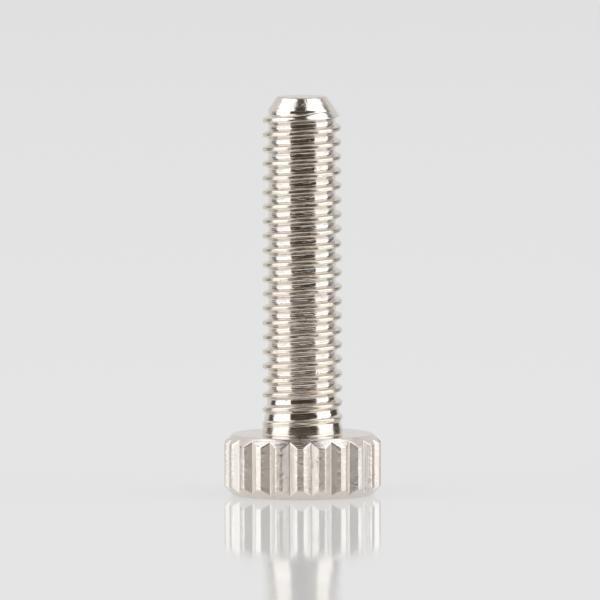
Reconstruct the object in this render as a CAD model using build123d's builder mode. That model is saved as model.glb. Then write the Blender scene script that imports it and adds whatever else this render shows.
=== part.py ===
"""Thumb screw, turned and threaded from one bar: a grooved round head on a long threaded shank.

The screw stands on the outer end of its head. The origin is the middle of that end, +Z runs
along the screw's axis towards the tip, and all sizes are in millimetres.
"""

import os
from math import ceil, radians, sqrt, tan

from build123d import *

# Head: a short drum with a chamfer turned at both ends and V grooves cut along it for the fingers
head_diameter = 7.6
head_height = 2.95
head_chamfer = 0.43
groove_count = 22
groove_width = 0.8
groove_depth = 0.2

# Shank: from the seat under the head to the flat end of the tip. The neck is the plain stretch
# between its flared foot and the run-out of the thread, and it stands out a little past the crests.
shank_length = 16.35
neck_step = 0.02
neck_length = 0.08
foot_flare = 0.08
run_out_length = 1.6
tip_diameter = 2.4
tip_half_angle = 35.0

# Thread: right-hand, with flat crests and roots, and a profile that grows with its pitch
thread_diameter = 3.84
thread_pitch = 0.7
thread_flank_angle = 30.0
thread_depth_per_pitch = 0.42
crest_width_per_pitch = 0.24
first_crest_height = 0.1

# Overlaps that let one cutter or tool solid pass cleanly through the next
ridge_sink = 0.03
cutter_margin = 0.05

# Heights and radii that follow from the sizes above
head_radius = head_diameter / 2
thread_radius = thread_diameter / 2
tip_radius = tip_diameter / 2
neck_radius = thread_radius + neck_step
thread_depth = thread_depth_per_pitch * thread_pitch
crest_width = crest_width_per_pitch * thread_pitch
root_radius = thread_radius - thread_depth
seat_height = head_height
tip_height = head_height + shank_length

# The ridge is swept along one edge for each turn, which keeps every flank a short, simple surface.
# It begins one turn below the seat, inside the head, and ends past the tip, where it is trimmed.
ridge_start = seat_height + first_crest_height - thread_pitch
ridge_turns = ceil((tip_height - ridge_start) / thread_pitch)
ridge_path = Wire(
    [
        Edge.make_helix(thread_pitch, thread_pitch, root_radius, (0, 0, ridge_start + turn * thread_pitch))
        for turn in range(ridge_turns)
    ]
)
ridge_foot = crest_width / 2 + (thread_depth + ridge_sink) * tan(radians(thread_flank_angle))

with BuildPart() as thread_ridge:
    with BuildSketch(Plane(ridge_path @ 0, x_dir=(1, 0, 0), z_dir=(0, -1, 0))) as ridge_section:
        with BuildLine():
            Polyline(
                (-ridge_sink, -ridge_foot),
                (thread_depth, -crest_width / 2),
                (thread_depth, crest_width / 2),
                (-ridge_sink, ridge_foot),
                close=True,
            )
        make_face()
    sweep(path=ridge_path, is_frenet=True, clean=False)

# Shank: the core with its ridge, the tip turned to a cone, and the run-out that fills the last
# grooves near the head because the threading die has a lead and can't cut up to the seat
tip_slope = tan(radians(tip_half_angle))
trim_radius = thread_radius + cutter_margin
trim_height = tip_height - (trim_radius - tip_radius) / tip_slope
ridge_end = ridge_start + (ridge_turns + 1) * thread_pitch
run_out_base = seat_height + foot_flare + neck_length
run_out_slope = (neck_radius - root_radius) / run_out_length
run_out_top = run_out_base + run_out_length + cutter_margin / run_out_slope

with BuildPart() as shank:
    with BuildSketch() as core_section:
        Circle(root_radius)
    extrude(amount=ridge_end)
    add(thread_ridge.part)

    with BuildSketch(Plane.XZ) as tip_waste:
        with BuildLine():
            Polyline(
                (0, tip_height),
                (tip_radius, tip_height),
                (trim_radius, trim_height),
                (head_radius, trim_height),
                (head_radius, ridge_end + cutter_margin),
                (0, ridge_end + cutter_margin),
                close=True,
            )
        make_face()
    revolve(axis=Axis.Z, mode=Mode.SUBTRACT)

    with BuildSketch(Plane.XZ) as neck_section:
        with BuildLine():
            Polyline(
                (neck_radius, seat_height + foot_flare),
                (neck_radius, run_out_base),
                (root_radius - cutter_margin, run_out_top),
                (0, run_out_top),
                (0, head_chamfer),
                (neck_radius + foot_flare, head_chamfer),
                (neck_radius + foot_flare, seat_height),
                close=True,
            )
        make_face()
    revolve(axis=Axis.Z)

# Head, with the shank made in one piece with it
groove_apex = head_radius - groove_depth
groove_edge = sqrt(head_radius**2 - (groove_width / 2) ** 2)
groove_slope = (groove_width / 2) / (groove_edge - groove_apex)
groove_mouth = groove_slope * (groove_depth + cutter_margin)

with BuildPart() as thumb_screw:
    with BuildSketch() as head_section:
        Circle(head_radius)
    extrude(amount=head_height)
    chamfer(thumb_screw.edges(), length=head_chamfer)

    with BuildSketch() as groove_sections:
        with PolarLocations(0, groove_count):
            Polygon(
                (groove_apex, 0),
                (head_radius + cutter_margin, -groove_mouth),
                (head_radius + cutter_margin, groove_mouth),
                align=None,
            )
    extrude(amount=head_height, mode=Mode.SUBTRACT)
    add(shank.part)

thumb_screw.part.label = "thumb_screw"
os.makedirs("parts", exist_ok=True)
export_step(thumb_screw.part, "parts/thumb_screw.step")
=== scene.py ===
from math import asin, atan2, ceil, cos, hypot, pi, radians, sin, sqrt, tan

import bmesh
import bpy
from mathutils import Matrix, Quaternion, Vector, noise


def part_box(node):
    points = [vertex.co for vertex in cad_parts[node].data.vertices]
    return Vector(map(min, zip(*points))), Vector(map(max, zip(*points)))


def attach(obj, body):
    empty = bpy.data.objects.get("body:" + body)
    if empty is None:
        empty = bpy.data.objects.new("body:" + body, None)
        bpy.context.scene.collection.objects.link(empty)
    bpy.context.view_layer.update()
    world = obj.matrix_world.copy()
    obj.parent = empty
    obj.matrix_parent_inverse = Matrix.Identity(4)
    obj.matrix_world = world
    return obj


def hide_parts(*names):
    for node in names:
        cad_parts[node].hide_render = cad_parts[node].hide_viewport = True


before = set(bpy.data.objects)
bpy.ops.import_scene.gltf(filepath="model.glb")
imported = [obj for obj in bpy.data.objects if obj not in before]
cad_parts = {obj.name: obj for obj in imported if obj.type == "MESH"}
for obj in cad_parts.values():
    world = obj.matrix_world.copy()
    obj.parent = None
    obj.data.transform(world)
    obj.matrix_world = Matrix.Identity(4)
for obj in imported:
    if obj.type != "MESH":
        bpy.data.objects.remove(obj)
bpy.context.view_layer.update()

# Head: a short drum with a chamfer turned at both ends, and 22 V grooves broached along it for
# the fingers. It is turned from the same bar as the shank, and its edges are softened by the
# plating. The screw stands on it. All sizes below are in millimetres.
mm = 0.001
screw_low, screw_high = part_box("thumb_screw")
head_radius = screw_high.y / mm
head_height = 2.95
head_chamfer = 0.43
groove_count = 22
groove_width = 0.77
groove_depth = 0.27
head_edge_softness = 0.04
wall_rows = 44
wall_columns = 3
burr_size = 0.022
face_radius = head_radius - head_chamfer
neck_hole_radius = 2.2

head = bmesh.new()
groove_half_angle = asin(groove_width / 2 / head_radius)
land_middle_angle = pi / groove_count
apex = head.verts.new((head_radius - groove_depth, 0, 0))
shoulder = head.verts.new((head_radius * cos(groove_half_angle), head_radius * sin(groove_half_angle), 0))
land_middle = head.verts.new((head_radius * cos(land_middle_angle), head_radius * sin(land_middle_angle), 0))
head.edges.new((apex, shoulder))
head.edges.new((shoulder, land_middle))
bmesh.ops.mirror(head, geom=head.verts[:] + head.edges[:], matrix=Matrix.Identity(4), merge_dist=0.001, axis="Y")
bmesh.ops.spin(
    head,
    geom=head.verts[:] + head.edges[:],
    cent=(0, 0, 0),
    axis=(0, 0, 1),
    angle=2 * pi,
    steps=groove_count,
    use_duplicate=True,
)
bmesh.ops.remove_doubles(head, verts=head.verts[:], dist=0.001)


def edge_of_chamfer(vert):
    """Height over the head's end at which the chamfer meets the wall at this point."""
    return head_chamfer - (head_radius - hypot(vert.co.x, vert.co.y))


def move_ring(verts, height, radius=None):
    """Puts a ring of the head at a height, and at a radius where one is given."""
    for vert in verts:
        if radius is not None:
            scale = radius / hypot(vert.co.x, vert.co.y)
            vert.co.x *= scale
            vert.co.y *= scale
        vert.co.z = height(vert) if callable(height) else height


def extruded_ring(mesh, edges):
    """Extrudes a ring of edges in place, and gives the new ring's edges and points."""
    made = bmesh.ops.extrude_edge_only(mesh, edges=edges)["geom"]
    new_edges = [part for part in made if isinstance(part, bmesh.types.BMEdge)]
    new_verts = [part for part in made if isinstance(part, bmesh.types.BMVert)]
    return new_edges, new_verts


outline = head.edges[:]
wall_foot = head.verts[:]
wall_top_edges, wall_top = extruded_ring(head, outline)
move_ring(wall_foot, edge_of_chamfer)
move_ring(wall_top, lambda vert: head_height - edge_of_chamfer(vert))
seat_edges, seat_rim = extruded_ring(head, wall_top_edges)
move_ring(seat_rim, head_height, face_radius)
neck_hole_edges, neck_hole = extruded_ring(head, seat_edges)
move_ring(neck_hole, head_height, neck_hole_radius)
end_edges, end_rim = extruded_ring(head, outline)
move_ring(end_rim, 0, face_radius)
inner_end_edges, inner_end = extruded_ring(head, end_edges)
move_ring(inner_end, 0, face_radius / 2)
bmesh.ops.contextual_create(head, geom=inner_end_edges)
bmesh.ops.recalc_face_normals(head, faces=head.faces[:])
sharp_edges = [edge for edge in head.edges if len(edge.link_faces) == 2 and edge.calc_face_angle() > radians(12)]
bmesh.ops.bevel(
    head,
    geom=sharp_edges,
    offset=head_edge_softness,
    offset_type="OFFSET",
    segments=2,
    profile=0.5,
    affect="EDGES",
    material=-1,
)

# The broach tears the metal a little, so the edges of the lands are ragged from end to end.
upright_edges = [
    edge
    for edge in head.edges
    if hypot(edge.verts[0].co.x - edge.verts[1].co.x, edge.verts[0].co.y - edge.verts[1].co.y) < 0.001
    and edge.calc_length() > head_height / 2
]
bmesh.ops.subdivide_edges(head, edges=upright_edges, cuts=wall_rows, use_grid_fill=True)
edges_across = [
    edge
    for edge in head.edges
    if min(hypot(*vert.co.xy) for vert in edge.verts) > head_radius - groove_depth - head_edge_softness
    and abs(hypot(*edge.verts[0].co.xy) - hypot(*edge.verts[1].co.xy)) > groove_depth / 2
]
bmesh.ops.subdivide_edges(head, edges=edges_across, cuts=wall_columns, use_grid_fill=True)


def tear(vert, size, grain):
    """Moves a point of the metal by an uneven amount, no further out than the screw's own size."""
    shift = noise.noise_vector(vert.co * grain) * size
    radius = hypot(vert.co.x, vert.co.y)
    moved = Vector((vert.co.x + shift.x, vert.co.y + shift.y, 0))
    moved *= min(1, max(radius, head_radius - head_edge_softness) / moved.length)
    vert.co.x = moved.x
    vert.co.y = moved.y


land_edge_radius = head_radius - head_edge_softness
for vert in head.verts:
    on_wall = head_chamfer < vert.co.z < head_height - head_chamfer
    off_middle = (atan2(vert.co.y, vert.co.x) / land_middle_angle) % 2
    if on_wall and hypot(vert.co.x, vert.co.y) > land_edge_radius and abs(off_middle - 1) > 0.1:
        tear(vert, burr_size, grain=8)

# Shank: a right-hand thread cut along nearly all of it, with flat crests and roots. The thread
# runs out to the neck's full width near the head, and the tip is turned to a cone with a flat
# end. The crests are a little smaller towards the tip.
tip_height = screw_high.z / mm
tip_wear = 0.04
thread_radius = 1.935
crest_taper = 0.045
thread_pitch = 0.7
thread_depth = 0.277
crest_width = 0.168
flank_angle = 30
first_crest_height = 0.1
corner_rounding = 0.028
longest_outline_edge = 0.06
turn_steps = 96
thread_unevenness = 0.008
unevenness_grain = 2.8
neck_radius = 1.94
neck_end = head_height + 0.16
run_out_length = 1.6
foot_fillet = 0.06
foot_steps = 4
tip_radius = 1.185
tip_half_angle = 35
tip_edge_softness = 0.04

shank = bmesh.new()
root_radius = thread_radius - thread_depth
crest_edge = crest_width / 2
root_edge = crest_edge + thread_depth * tan(radians(flank_angle))
thread_start = head_height + first_crest_height - thread_pitch
turns = ceil((tip_height - thread_start) / thread_pitch) + 1
outline_points = (
    (root_radius, -thread_pitch / 2),
    (root_radius, -root_edge),
    (thread_radius, -crest_edge),
    (thread_radius, crest_edge),
    (root_radius, root_edge),
    (root_radius, thread_pitch / 2),
)
outline_verts = [shank.verts.new((radius, 0, thread_start + height)) for radius, height in outline_points]
for lower, upper in zip(outline_verts, outline_verts[1:]):
    shank.edges.new((lower, upper))
bmesh.ops.bevel(
    shank,
    geom=outline_verts[1:-1],
    offset=corner_rounding,
    offset_type="OFFSET",
    segments=3,
    profile=0.5,
    affect="VERTICES",
    material=-1,
)
long_edges = [edge for edge in shank.edges if edge.calc_length() > longest_outline_edge]
bmesh.ops.subdivide_edges(shank, edges=long_edges, cuts=2)
bmesh.ops.spin(
    shank,
    geom=shank.verts[:] + shank.edges[:],
    cent=(0, 0, 0),
    axis=(0, 0, 1),
    dvec=(0, 0, thread_pitch / turn_steps),
    angle=2 * pi,
    steps=turn_steps,
)
bmesh.ops.spin(
    shank,
    geom=shank.verts[:] + shank.edges[:] + shank.faces[:],
    cent=(0, 0, 0),
    axis=(0, 0, 1),
    dvec=(0, 0, thread_pitch),
    angle=0,
    steps=turns - 1,
    use_duplicate=True,
)
bmesh.ops.remove_doubles(shank, verts=shank.verts[:], dist=0.002)

run_out_slope = (neck_radius - root_radius) / run_out_length
tip_slope = tan(radians(tip_half_angle))
tip_end = tip_height - tip_wear
for vert in shank.verts:
    radius = hypot(vert.co.x, vert.co.y)
    height = vert.co.z
    tapered = radius - crest_taper * (height - neck_end) / (tip_height - neck_end)
    run_out = neck_radius - run_out_slope * max(0, height - neck_end)
    cone = tip_radius + tip_slope * (tip_end - height)
    new_radius = min(max(tapered, run_out), cone)
    unevenness = thread_unevenness * noise.noise(vert.co * unevenness_grain) if new_radius < cone else 0
    vert.co.x *= (new_radius + unevenness) / radius
    vert.co.y *= (new_radius + unevenness) / radius


def cut_shank(height, keep_above):
    """Cuts the shank square at a height, and gives the edges of the cut."""
    bmesh.ops.bisect_plane(
        shank,
        geom=shank.verts[:] + shank.edges[:] + shank.faces[:],
        dist=0.0001,
        plane_co=(0, 0, height),
        plane_no=(0, 0, 1),
        clear_inner=keep_above,
        clear_outer=not keep_above,
    )
    return [edge for edge in shank.edges if edge.is_boundary and abs(edge.verts[0].co.z - height) < 0.001]


foot_edges = cut_shank(head_height + foot_fillet, keep_above=True)
for step in range(1, foot_steps + 1):
    turned = step / foot_steps * pi / 2
    foot_edges, foot_ring = extruded_ring(shank, foot_edges)
    foot_radius = neck_radius + foot_fillet * (1 - cos(turned))
    move_ring(foot_ring, head_height + foot_fillet * (1 - sin(turned)), foot_radius)

tip_edges = cut_shank(tip_end - tip_edge_softness, keep_above=False)
tip_edges, tip_ring = extruded_ring(shank, tip_edges)
move_ring(tip_ring, tip_end, tip_radius - tip_edge_softness / 2)
tip_edges, tip_ring = extruded_ring(shank, tip_edges)
move_ring(tip_ring, tip_end, tip_radius / 2)
bmesh.ops.contextual_create(shank, geom=tip_edges)
bmesh.ops.recalc_face_normals(shank, faces=shank.faces[:])

# The head and the shank are one piece of metal, so the neck's foot is joined to the head's face.
shank_mesh = bpy.data.meshes.new("shank")
shank.to_mesh(shank_mesh)
head.from_mesh(shank_mesh)
head.edges.ensure_lookup_table()
open_edges = [edge for edge in head.edges if edge.is_boundary]
bmesh.ops.bridge_loops(head, edges=open_edges)
bmesh.ops.recalc_face_normals(head, faces=head.faces[:])
for face in head.faces:
    face.smooth = True


def facing(vert):
    """The way a point faces, led by its largest faces, so flat walls stay flat up to their edges."""
    ways = [face.normal * face.calc_area() ** 2 for face in vert.link_faces]
    return sum(ways, Vector()).normalized()


facings = [facing(vert) for vert in head.verts]
bmesh.ops.scale(head, vec=(mm, mm, mm), verts=head.verts[:])
screw_mesh = bpy.data.meshes.new("plated_screw")
head.to_mesh(screw_mesh)
screw_mesh.normals_split_custom_set_from_vertices(facings)
screw = bpy.data.objects.new("plated_screw", screw_mesh)
bpy.context.scene.collection.objects.link(screw)
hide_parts("thumb_screw")
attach(screw, "root")

# Nickel plate: one bright, slightly warm metal all over. The thread's roots are smooth, its crests
# are rubbed warmer and duller, and the broached walls of the head are the dullest. The marks of
# the lathe, the die and the broach still show through the plating.
root_colour = (0.79, 0.73, 0.67, 1)
crest_colour = (0.74, 0.67, 0.59, 1)
broached_colour = (0.81, 0.75, 0.685, 1)
mark_width = 0.055
full_turn = 2 * pi


def add_node(tree, kind, inputs, **settings):
    """Adds a node with its settings, and gives each input its link or its plain value."""
    node = tree.nodes.new(kind)
    for name, value in settings.items():
        setattr(node, name, value)
    for name, value in inputs.items():
        if isinstance(value, bpy.types.NodeSocket):
            tree.links.new(value, node.inputs[name])
        else:
            node.inputs[name].default_value = value
    return node


def calculate(tree, operation, first, second=0.0):
    """Gives the result of a Math node."""
    return add_node(tree, "ShaderNodeMath", {0: first, 1: second}, operation=operation).outputs[0]


def rise(tree, value, low, high):
    """Gives 0 below the low value, 1 above the high one, and a smooth rise between them."""
    inputs = {"Value": value, "From Min": low, "From Max": high}
    return add_node(tree, "ShaderNodeMapRange", inputs, interpolation_type="SMOOTHSTEP").outputs["Result"]


def new_group(name, inputs, outputs):
    """Starts a shader group, and gives its tree, the sockets that come in and the node they leave by."""
    tree = bpy.data.node_groups.new(name, "ShaderNodeTree")
    for socket_name, kind in inputs.items():
        tree.interface.new_socket(socket_name, in_out="INPUT", socket_type=kind)
    for socket_name, kind in outputs.items():
        tree.interface.new_socket(socket_name, in_out="OUTPUT", socket_type=kind)
    return tree, tree.nodes.new("NodeGroupInput").outputs, tree.nodes.new("NodeGroupOutput").inputs


# Where a point lies on the screw: its distance from the axis, its height, and which finish it has
places, given, found = new_group(
    "places_on_screw",
    {"Position": "NodeSocketVector"},
    {
        "Radius": "NodeSocketFloat",
        "Height": "NodeSocketFloat",
        "Shank": "NodeSocketFloat",
        "Crest": "NodeSocketFloat",
        "Broached": "NodeSocketFloat",
        "Chamfer": "NodeSocketFloat",
        "Cone": "NodeSocketFloat",
    },
)
parts = add_node(places, "ShaderNodeSeparateXYZ", {"Vector": given["Position"]}).outputs
flat = add_node(places, "ShaderNodeCombineXYZ", {"X": parts["X"], "Y": parts["Y"]}).outputs[0]
radius = add_node(places, "ShaderNodeVectorMath", {0: flat}, operation="LENGTH").outputs["Value"]
height = parts["Z"]
on_shank = rise(places, height, head_height, head_height + foot_fillet)
taper = calculate(places, "MULTIPLY", height, crest_taper / (tip_height - neck_end))
untapered = calculate(places, "ADD", radius, taper)
near_crest = rise(places, untapered, thread_radius - 0.05, thread_radius - 0.01)
cone_foot = tip_end - tip_slope * (thread_radius - crest_taper - tip_radius)
over_foot = rise(places, calculate(places, "SUBTRACT", height, radius), 0.01 - face_radius, 0.05 - face_radius)
top_cone = head_height + face_radius
under_top = rise(places, calculate(places, "ADD", height, radius), top_cone - 0.01, top_cone - 0.05)
outside = rise(places, radius, face_radius, face_radius + 0.04)
wall = calculate(places, "MULTIPLY", calculate(places, "MULTIPLY", over_foot, under_top), outside)
chamfer = calculate(places, "SUBTRACT", outside, wall)
for name, value in (
    ("Radius", radius),
    ("Height", height),
    ("Shank", on_shank),
    ("Crest", calculate(places, "MULTIPLY", near_crest, on_shank)),
    ("Broached", wall),
    ("Chamfer", chamfer),
    ("Cone", rise(places, height, cone_foot, cone_foot + 0.1)),
):
    places.links.new(value, found[name])

# Marks that the tools left: fine lines that run round with the lathe and along with the thread,
# straight ones down the broached walls, short chatter across them, and a few small pits
marks, given, found = new_group(
    "tool_marks",
    {
        "Position": "NodeSocketVector",
        "Radius": "NodeSocketFloat",
        "Height": "NodeSocketFloat",
        "Shank": "NodeSocketFloat",
        "Broached": "NodeSocketFloat",
    },
    {"Lines": "NodeSocketFloat", "Chatter": "NodeSocketFloat", "Pits": "NodeSocketFloat"},
)
parts = add_node(marks, "ShaderNodeSeparateXYZ", {"Vector": given["Position"]}).outputs
angle = calculate(marks, "ARCTAN2", parts["Y"], parts["X"])
shank_angle = calculate(marks, "MULTIPLY", angle, given["Shank"])
climb = calculate(marks, "MULTIPLY", given["Height"], full_turn / thread_pitch)
phase = calculate(marks, "SUBTRACT", climb, shank_angle)
reach = thread_pitch / mark_width / full_turn
along = {
    "X": calculate(marks, "MULTIPLY", given["Radius"], 1 / mark_width),
    "Y": calculate(marks, "MULTIPLY", calculate(marks, "COSINE", phase), reach),
    "Z": calculate(marks, "MULTIPLY", calculate(marks, "SINE", phase), reach),
}
turned_point = add_node(marks, "ShaderNodeCombineXYZ", along).outputs[0]
sideways = add_node(marks, "ShaderNodeVectorMath", {0: given["Position"], 1: (1.6, 1.6, 1.0)}, operation="DOT_PRODUCT")
wander = sideways.outputs["Value"]
turned = add_node(
    marks,
    "ShaderNodeTexNoise",
    {"Vector": turned_point, "W": wander, "Scale": 1.0, "Detail": 1.0},
    noise_dimensions="4D",
).outputs["Fac"]
stretch = (1 / mark_width, 1 / mark_width, 0.8)
broach_point = add_node(
    marks, "ShaderNodeVectorMath", {0: given["Position"], 1: stretch}, operation="MULTIPLY"
).outputs["Vector"]
broached = add_node(
    marks, "ShaderNodeTexNoise", {"Vector": broach_point, "Scale": 1.0, "Detail": 2.0}
).outputs["Fac"]
lines = add_node(marks, "ShaderNodeMix", {"Factor": given["Broached"], "A": turned, "B": broached})
marks.links.new(lines.outputs["Result"], found["Lines"])
squeeze = add_node(
    marks, "ShaderNodeMix", {"Factor": given["Broached"]}, data_type="VECTOR"
)
squeeze.inputs[4].default_value = (6, 6, 6)
squeeze.inputs[5].default_value = (5, 5, 11)
ripple_point = add_node(
    marks, "ShaderNodeVectorMath", {0: given["Position"], 1: squeeze.outputs[1]}, operation="MULTIPLY"
).outputs["Vector"]
ripple = add_node(
    marks, "ShaderNodeTexNoise", {"Vector": ripple_point, "Scale": 1.0, "Detail": 3.0, "Roughness": 0.6}
).outputs["Fac"]
patches = add_node(
    marks, "ShaderNodeTexNoise", {"Vector": given["Position"], "Scale": 0.9, "Detail": 1.0}
).outputs["Fac"]
marks.links.new(calculate(marks, "MULTIPLY", ripple, rise(marks, patches, 0.35, 0.65)), found["Chatter"])
pit = add_node(marks, "ShaderNodeTexVoronoi", {"Vector": given["Position"], "Scale": 2.6}).outputs["Distance"]
marks.links.new(rise(marks, pit, 0.11, 0.05), found["Pits"])

nickel = bpy.data.materials.new("nickel_plate")
nickel.use_nodes = True
tree = nickel.node_tree
position = add_node(tree, "ShaderNodeTexCoord", {}).outputs["Object"]
millimetres = add_node(
    tree, "ShaderNodeVectorMath", {0: position, 1: (1 / mm, 1 / mm, 1 / mm)}, operation="MULTIPLY"
).outputs["Vector"]
place = add_node(tree, "ShaderNodeGroup", {}, node_tree=places)
tree.links.new(millimetres, place.inputs["Position"])
mark = add_node(tree, "ShaderNodeGroup", {}, node_tree=marks)
tree.links.new(millimetres, mark.inputs["Position"])
for name in ("Radius", "Height", "Shank", "Broached"):
    tree.links.new(place.outputs[name], mark.inputs[name])


def blend(kind, factor, first, second):
    """Gives a mix of two values or two colours in the nickel's own tree."""
    mixer = tree.nodes.new("ShaderNodeMix")
    mixer.data_type = kind
    usable = [socket for socket in mixer.inputs if socket.enabled]
    for socket, value in zip(usable, (factor, first, second)):
        if isinstance(value, bpy.types.NodeSocket):
            tree.links.new(value, socket)
        else:
            socket.default_value = value
    return [socket for socket in mixer.outputs if socket.enabled][0]


principled = tree.nodes["Principled BSDF"]
principled.inputs["Metallic"].default_value = 1
colour = blend("RGBA", place.outputs["Crest"], root_colour, crest_colour)
colour = blend("RGBA", place.outputs["Broached"], colour, broached_colour)
specks = calculate(tree, "MULTIPLY", rise(tree, mark.outputs["Chatter"], 0.46, 0.6), place.outputs["Broached"])
colour = blend("RGBA", calculate(tree, "MULTIPLY", specks, 0.2), colour, (0.3, 0.26, 0.22, 1))
stain = calculate(tree, "MULTIPLY", mark.outputs["Pits"], 0.5)
colour = blend("RGBA", stain, colour, (0.2, 0.17, 0.14, 1))
tree.links.new(colour, principled.inputs["Base Color"])
roughness = blend("FLOAT", place.outputs["Crest"], 0.13, 0.2)
roughness = blend("FLOAT", place.outputs["Broached"], roughness, 0.30)
roughness = blend("FLOAT", place.outputs["Chamfer"], roughness, 0.24)
roughness = blend("FLOAT", place.outputs["Cone"], roughness, 0.19)
streaky = calculate(tree, "MULTIPLY", calculate(tree, "SUBTRACT", mark.outputs["Lines"], 0.5), 0.16)
roughness = calculate(tree, "ADD", roughness, streaky)
tree.links.new(roughness, principled.inputs["Roughness"])
lined = calculate(tree, "ADD", calculate(tree, "MULTIPLY", place.outputs["Chamfer"], 1.3), 0.85)
relief = calculate(tree, "MULTIPLY", mark.outputs["Lines"], lined)
calm = calculate(tree, "ADD", 1.0, calculate(tree, "MULTIPLY", place.outputs["Broached"], 0.6))
calm = calculate(tree, "ADD", calm, place.outputs["Cone"])
relief = calculate(tree, "ADD", relief, calculate(tree, "MULTIPLY", mark.outputs["Chatter"], calm))
relief = calculate(tree, "SUBTRACT", relief, mark.outputs["Pits"])
bump = add_node(tree, "ShaderNodeBump", {"Height": relief, "Strength": 1.0, "Distance": 0.009 * mm})
tree.links.new(bump.outputs["Normal"], principled.inputs["Normal"])
screw_mesh.materials.append(nickel)

# Floor: a sheet of white acrylic, which mirrors the screw softly. It is not part of the object.
# Its glow is painted light, not a lamp. It is brightest near the screw and dimmer further off, so it fills in the
# screw's shadow on the floor and lights the screw's underside.
floor_half_width = 4000
floor_front = 75
floor = bmesh.new()
bmesh.ops.create_grid(floor, x_segments=1, y_segments=1, size=floor_half_width * mm)
bmesh.ops.translate(floor, verts=floor.verts[:], vec=(0, (floor_half_width - floor_front) * mm, 0))
floor_mesh = bpy.data.meshes.new("floor")
floor.to_mesh(floor_mesh)
floor_sheet = bpy.data.objects.new("floor", floor_mesh)
bpy.context.scene.collection.objects.link(floor_sheet)
acrylic = bpy.data.materials.new("white_acrylic")
acrylic.use_nodes = True
acrylic_shader = acrylic.node_tree.nodes["Principled BSDF"]
acrylic_shader.inputs["Base Color"].default_value = (0.15, 0.15, 0.15, 1)
acrylic_shader.inputs["Specular IOR Level"].default_value = 0
acrylic_shader.inputs["Coat Weight"].default_value = 1
acrylic_shader.inputs["Coat IOR"].default_value = 1.11
acrylic_shader.inputs["Coat Roughness"].default_value = 0.06
distance = acrylic.node_tree.nodes.new("ShaderNodeVectorMath")
distance.operation = "LENGTH"
place_on_floor = acrylic.node_tree.nodes.new("ShaderNodeTexCoord")
acrylic.node_tree.links.new(place_on_floor.outputs["Object"], distance.inputs[0])
# Painted light: the floor's glow is full strength within 60 mm of the screw and falls to 0.88 at 400 mm. This lightens
# the screw's shadow near its foot.
painted_glow_falloff = acrylic.node_tree.nodes.new("ShaderNodeMapRange")
acrylic.node_tree.links.new(distance.outputs["Value"], painted_glow_falloff.inputs["Value"])
painted_glow_falloff.inputs["From Min"].default_value = 60 * mm
painted_glow_falloff.inputs["From Max"].default_value = 400 * mm
painted_glow_falloff.inputs["To Min"].default_value = 1
painted_glow_falloff.inputs["To Max"].default_value = 0.88
acrylic.node_tree.links.new(painted_glow_falloff.outputs["Result"], acrylic_shader.inputs["Emission Color"])
acrylic_shader.inputs["Emission Strength"].default_value = 0.63
floor_mesh.materials.append(acrylic)


# Lamps: two tall soft boxes, one at each side of the screw and a little in front of it. The upper
# half of each leans in over the screw. Nothing lights the space behind the camera, so the front
# of the metal stays dark between their images.
box_fold_height = 500
box_radiance = 1.68
box_colour = (0.93, 0.97, 1)


def soft_box(name, azimuth, half_width, lower, upper):
    """Hangs a panel of light between a lower and an upper edge, each at a distance and a height."""
    side = radians(azimuth)
    outward = Vector((sin(side), -cos(side), 0))
    lower_edge = outward * lower[0] + Vector((0, 0, lower[1]))
    upper_edge = outward * upper[0] + Vector((0, 0, upper[1]))
    rise_along = (upper_edge - lower_edge).normalized()
    width_along = Vector((0, 0, 1)).cross(outward)
    lamp = bpy.data.lights.new(name, "AREA")
    lamp.shape = "RECTANGLE"
    lamp.color = box_colour
    lamp.size = 2 * half_width * mm
    lamp.size_y = (upper_edge - lower_edge).length * mm
    lamp.energy = box_radiance * pi * lamp.size * lamp.size_y
    box = bpy.data.objects.new(name, lamp)
    turn = Matrix((width_along, rise_along, width_along.cross(rise_along))).transposed()
    box.location = (lower_edge + upper_edge) / 2 * mm
    box.rotation_mode = "QUATERNION"
    box.rotation_quaternion = turn.to_quaternion()
    box.visible_camera = False
    bpy.context.scene.collection.objects.link(box)


soft_box("left_soft_box", -67.8, 543, (1000, -900), (1000, box_fold_height))
soft_box("left_soft_box_top", -73, 640, (1000, box_fold_height), (700, 1600))
soft_box("right_soft_box", 76.2, 509, (1000, -900), (1000, box_fold_height))
soft_box("right_soft_box_top", 76.2, 509, (1000, box_fold_height), (385, 1330))

# World: a pale studio. Its light is even, but what the metal mirrors is a pale backdrop behind
# the screw, and a dim room on the camera's side.
studio = bpy.data.worlds.new("studio")
bpy.context.scene.world = studio
studio.use_nodes = True
world_nodes = studio.node_tree.nodes
world_links = studio.node_tree.links
sky = world_nodes["Background"]
direction = world_nodes.new("ShaderNodeTexCoord")
backdrop_side = world_nodes.new("ShaderNodeVectorMath")
backdrop_side.operation = "DOT_PRODUCT"
backdrop_turn = radians(7)
backdrop_tilt = radians(30)
backdrop_side.inputs[1].default_value = (
    -sin(backdrop_turn) * cos(backdrop_tilt),
    cos(backdrop_turn) * cos(backdrop_tilt),
    sin(backdrop_tilt),
)
world_links.new(direction.outputs["Generated"], backdrop_side.inputs[0])
room = world_nodes.new("ShaderNodeValToRGB")
world_links.new(backdrop_side.outputs["Value"], room.inputs["Fac"])
room.color_ramp.elements[0].position = 0.0
room.color_ramp.elements[0].color = (0.055, 0.041, 0.026, 1)
room.color_ramp.elements[1].position = 0.66
room.color_ramp.elements[1].color = (0.75, 0.75, 0.75, 1)
shaded = room.color_ramp.elements.new(0.57)
shaded.color = (0.095, 0.083, 0.068, 1)
upwards = world_nodes.new("ShaderNodeSeparateXYZ")
world_links.new(direction.outputs["Generated"], upwards.inputs[0])
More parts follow.
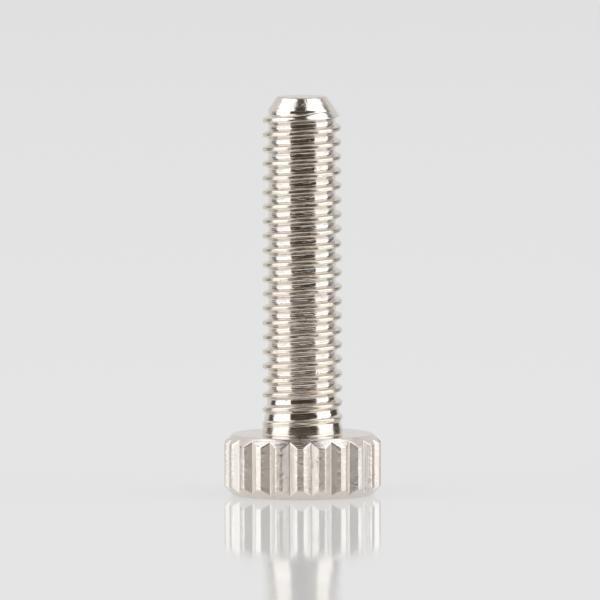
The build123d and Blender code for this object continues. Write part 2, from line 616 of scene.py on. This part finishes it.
wall_wash = world_nodes.new("ShaderNodeValToRGB")
world_links.new(upwards.outputs["Z"], wall_wash.inputs["Fac"])
wall_wash.color_ramp.elements[0].position = 0.29
wall_wash.color_ramp.elements[0].color = (0, 0, 0, 1)
wall_wash.color_ramp.elements[1].position = 0.86
wall_wash.color_ramp.elements[1].color = (0, 0, 0, 1)
for position in (0.42, 0.7):
    wall_wash.color_ramp.elements.new(position).color = (0.2, 0.187, 0.17, 1)
washed = world_nodes.new("ShaderNodeMix")
washed.data_type = "RGBA"
washed.blend_type = "LIGHTEN"
washed.inputs["Factor"].default_value = 1
world_links.new(room.outputs["Color"], washed.inputs["A"])
world_links.new(wall_wash.outputs["Color"], washed.inputs["B"])
ray = world_nodes.new("ShaderNodeLightPath")
seen = world_nodes.new("ShaderNodeMix")
seen.data_type = "RGBA"
seen.inputs["A"].default_value = (0.73, 0.73, 0.73, 1)
world_links.new(ray.outputs["Is Glossy Ray"], seen.inputs["Factor"])
world_links.new(washed.outputs["Result"], seen.inputs["B"])
world_links.new(seen.outputs["Result"], sky.inputs["Color"])

# Camera: a long lens far off, a little above the screw and looking slightly down, and not quite
# upright.
camera_azimuth = 1.69
camera_elevation = 4.4
camera_distance = 800
camera_lens = 994
camera_roll = -0.136
aim_height = 9.41
aim_side = 0.1085
view_side = radians(camera_azimuth)
view_rise = radians(camera_elevation)
back = Vector((sin(view_side) * cos(view_rise), -cos(view_side) * cos(view_rise), sin(view_rise)))
right = Vector((cos(view_side), sin(view_side), 0))
aim = Vector((0, 0, aim_height)) - right * aim_side
camera_data = bpy.data.cameras.new("camera")
camera_data.sensor_width = 36
camera_data.lens = camera_lens
camera = bpy.data.objects.new("camera", camera_data)
camera.location = (aim + back * camera_distance) * mm
camera.rotation_mode = "QUATERNION"
camera.rotation_quaternion = back.to_track_quat("Z", "Y") @ Quaternion((0, 0, 1), radians(camera_roll))
bpy.context.scene.collection.objects.link(camera)
bpy.context.scene.camera = camera
bpy.context.scene.view_settings.view_transform = "Standard"
